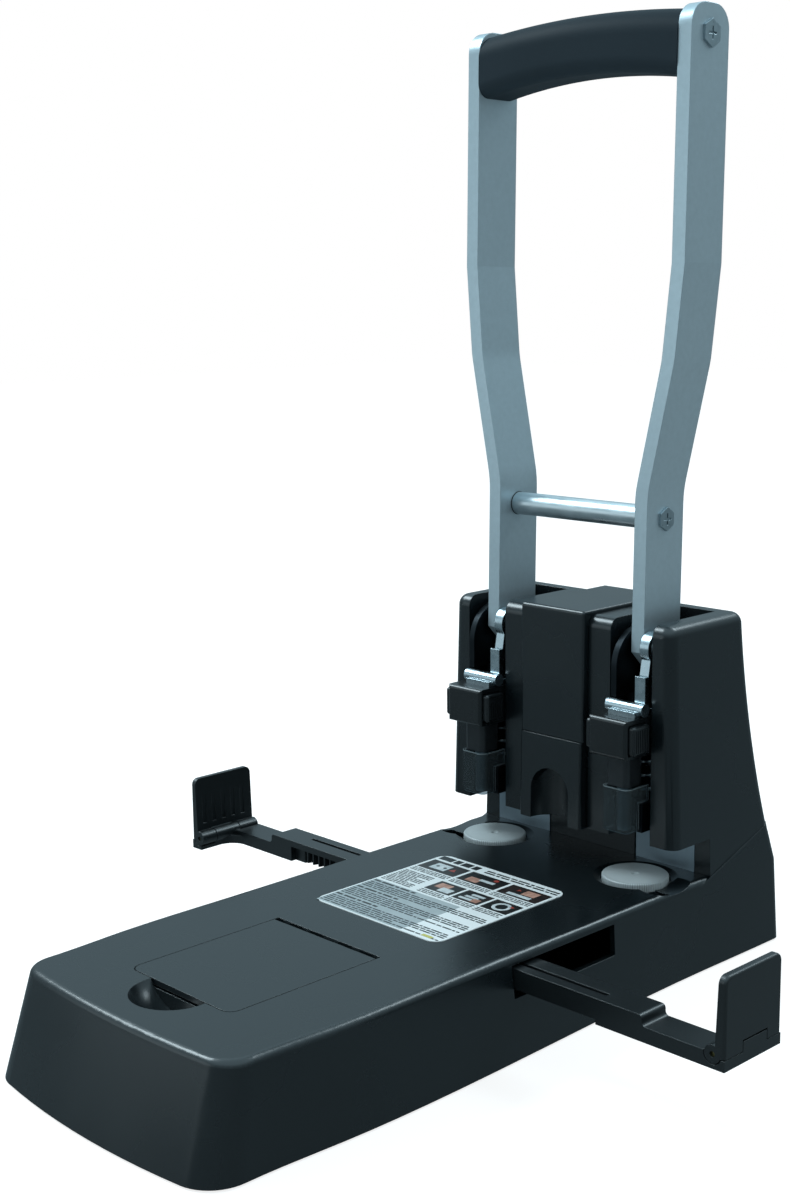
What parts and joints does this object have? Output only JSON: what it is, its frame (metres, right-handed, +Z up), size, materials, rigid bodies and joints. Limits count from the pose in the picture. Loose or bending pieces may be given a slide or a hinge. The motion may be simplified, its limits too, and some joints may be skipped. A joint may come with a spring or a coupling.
{
  "type": "electric hole punch",
  "caption": "Heavy-duty desk hole punch: tall U-shaped lever on a tower drives a pair of punches into cutting discs; coupled paper guides and a storage lid.",
  "frame": {"origin": "under the middle of the object, at the level of the feet", "axes": "+X to the right, +Y to the back, where the tower is, +Z up"},
  "size_m": [0.3156, 0.3208, 0.3899],
  "materials": {
    "base_plastic": "satin",
    "tower_plastic": "satin",
    "block_plastic": "satin",
    "guide_plastic": "satin",
    "label_film": "printed film, satin",
    "rubber": "matte",
    "disc_nylon": "satin",
    "steel_plate": "zinc plated",
    "dark_steel": "black oxide",
    "bright_steel": "ground",
    "pusher_steel": "zinc plated, dark",
    "punch_steel": "ground",
    "collar_steel": "oiled",
    "spring_steel": "drawn wire",
    "guide_block": "cast, dark",
    "clear_guard": "clear plastic",
    "lever_paint": "satin silver grey",
    "cross_steel": "bright plated",
    "screw_steel": "zinc plated",
    "grip_plastic": "satin"
  },
  "bodies": {
    "base": {"base_shell": "base_plastic", "base_plate": "steel_plate", "bottom_plate": "base_plastic", "instruction_label": "label_film", "storage_bin": "base_plastic", "lid_pin": "bright_steel", "foot_front_left": "rubber", "foot_front_right": "rubber", "foot_back_left": "rubber", "foot_back_right": "rubber", "guide_tray": "base_plastic", "travel_stop_left": "bright_steel", "travel_stop_right": "bright_steel", "pinion_axle": "bright_steel", "tower_cover": "tower_plastic", "upper_cover": "tower_plastic", "lower_cover": "tower_plastic", "frame_bracket_left": "steel_plate", "frame_bracket_right": "steel_plate", "bearing_plate_left": "dark_steel", "bearing_plate_right": "dark_steel", "pivot_shaft": "bright_steel", "pin_guide_left": "guide_block", "pin_guide_right": "guide_block", "guard_left": "clear_guard", "guard_right": "clear_guard", "return_spring_left": "spring_steel", "return_spring_right": "spring_steel"},
    "lever": {"lever_arm_left": "lever_paint", "lever_arm_right": "lever_paint", "crank_pin_left": "bright_steel", "crank_pin_right": "bright_steel", "cross_bar": "cross_steel", "cross_screw_left": "screw_steel", "cross_screw_right": "screw_steel", "grip": "grip_plastic", "grip_screw_left": "screw_steel", "grip_screw_right": "screw_steel"},
    "pinion_gear": {"pinion": "guide_plastic"},
    "lid": {"storage_lid": "base_plastic"},
    "guide_right": {"guide_arm_right": "guide_plastic", "stop_pin_right": "bright_steel"},
    "guide_left": {"guide_arm_left": "guide_plastic", "stop_pin_left": "bright_steel"},
    "stop_right": {"paper_stop_right": "guide_plastic"},
    "stop_left": {"paper_stop_left": "guide_plastic"},
    "head_left": {"pusher_bracket_left": "pusher_steel", "punch_block_left": "block_plastic", "collar_left": "collar_steel", "punch_pin_left": "punch_steel"},
    "press_inner_left": {"button_inner_left": "block_plastic"},
    "press_outer_left": {"button_outer_left": "block_plastic"},
    "disc_left": {"cutting_disc_left": "disc_nylon"},
    "head_right": {"pusher_bracket_right": "pusher_steel", "punch_block_right": "block_plastic", "collar_right": "collar_steel", "punch_pin_right": "punch_steel"},
    "press_inner_right": {"button_inner_right": "block_plastic"},
    "press_outer_right": {"button_outer_right": "block_plastic"},
    "disc_right": {"cutting_disc_right": "disc_nylon"}
  },
  "joints": [
    {"name": "lever_swing", "type": "hinge", "parent": "base", "child": "lever", "pos_m": [0, 0.11005, 0.1275], "axis": [1, 0, 0], "range_deg": [0, 78], "stiffness_Nm_per_rad": 1.2, "springref_deg": -14.32},
    {"name": "head_slide_left", "type": "slide", "parent": "base", "child": "head_left", "axis": [0, 0, -1], "range_m": [0, 0.0204], "deforming": ["return_spring_left"]},
    {"name": "squeeze_inner_left", "type": "slide", "parent": "head_left", "child": "press_inner_left", "axis": [-1, 0, 0], "range_m": [0, 0.001], "stiffness_N_per_m": 400, "springref_m": -0.0003},
    {"name": "squeeze_outer_left", "type": "slide", "parent": "head_left", "child": "press_outer_left", "axis": [1, 0, 0], "range_m": [0, 0.001], "stiffness_N_per_m": 400, "springref_m": -0.0003},
    {"name": "disc_turn_left", "type": "hinge", "parent": "base", "child": "disc_left", "pos_m": [-0.04, 0.09105, 0.0392], "axis": [0, 0, 1], "continuous": true},
    {"name": "head_slide_right", "type": "slide", "parent": "base", "child": "head_right", "axis": [0, 0, -1], "range_m": [0, 0.0204], "deforming": ["return_spring_right"]},
    {"name": "squeeze_inner_right", "type": "slide", "parent": "head_right", "child": "press_inner_right", "axis": [1, 0, 0], "range_m": [0, 0.001], "stiffness_N_per_m": 400, "springref_m": -0.0003},
    {"name": "squeeze_outer_right", "type": "slide", "parent": "head_right", "child": "press_outer_right", "axis": [-1, 0, 0], "range_m": [0, 0.001], "stiffness_N_per_m": 400, "springref_m": -0.0003},
    {"name": "disc_turn_right", "type": "hinge", "parent": "base", "child": "disc_right", "pos_m": [0.04, 0.09105, 0.0392], "axis": [0, 0, 1], "continuous": true},
    {"name": "guide_slide_right", "type": "slide", "parent": "base", "child": "guide_right", "axis": [-1, 0, 0], "range_m": [0, 0.08]},
    {"name": "guide_slide_left", "type": "slide", "parent": "base", "child": "guide_left", "axis": [1, 0, 0], "range_m": [0, 0.08]},
    {"name": "pinion_turn", "type": "hinge", "parent": "base", "child": "pinion_gear", "pos_m": [0, 0.01641, 0.0305], "axis": [0, 0, -1], "range_deg": [0, 318.3]},
    {"name": "stop_fold_right", "type": "hinge", "parent": "guide_right", "child": "stop_right", "pos_m": [0.1528, 0.006, 0.0309], "axis": [0, -1, 0], "range_deg": [0, 90]},
    {"name": "stop_fold_left", "type": "hinge", "parent": "guide_left", "child": "stop_left", "pos_m": [-0.1528, 0.02682, 0.0309], "axis": [0, 1, 0], "range_deg": [0, 90]},
    {"name": "lid_swing", "type": "hinge", "parent": "base", "child": "lid", "pos_m": [0, -0.0477, 0.0379], "axis": [-1, 0, 0], "range_deg": [0, 90]}
  ],
  "couplings": [
    {"joint": "head_slide_left", "follows": "lever_swing", "m_per_rad": 0.014978},
    {"joint": "head_slide_right", "follows": "lever_swing", "m_per_rad": 0.014978},
    {"joint": "guide_slide_left", "follows": "guide_slide_right", "ratio": 1},
    {"joint": "pinion_turn", "follows": "guide_slide_right", "rad_per_m": 69.444}
  ]
}
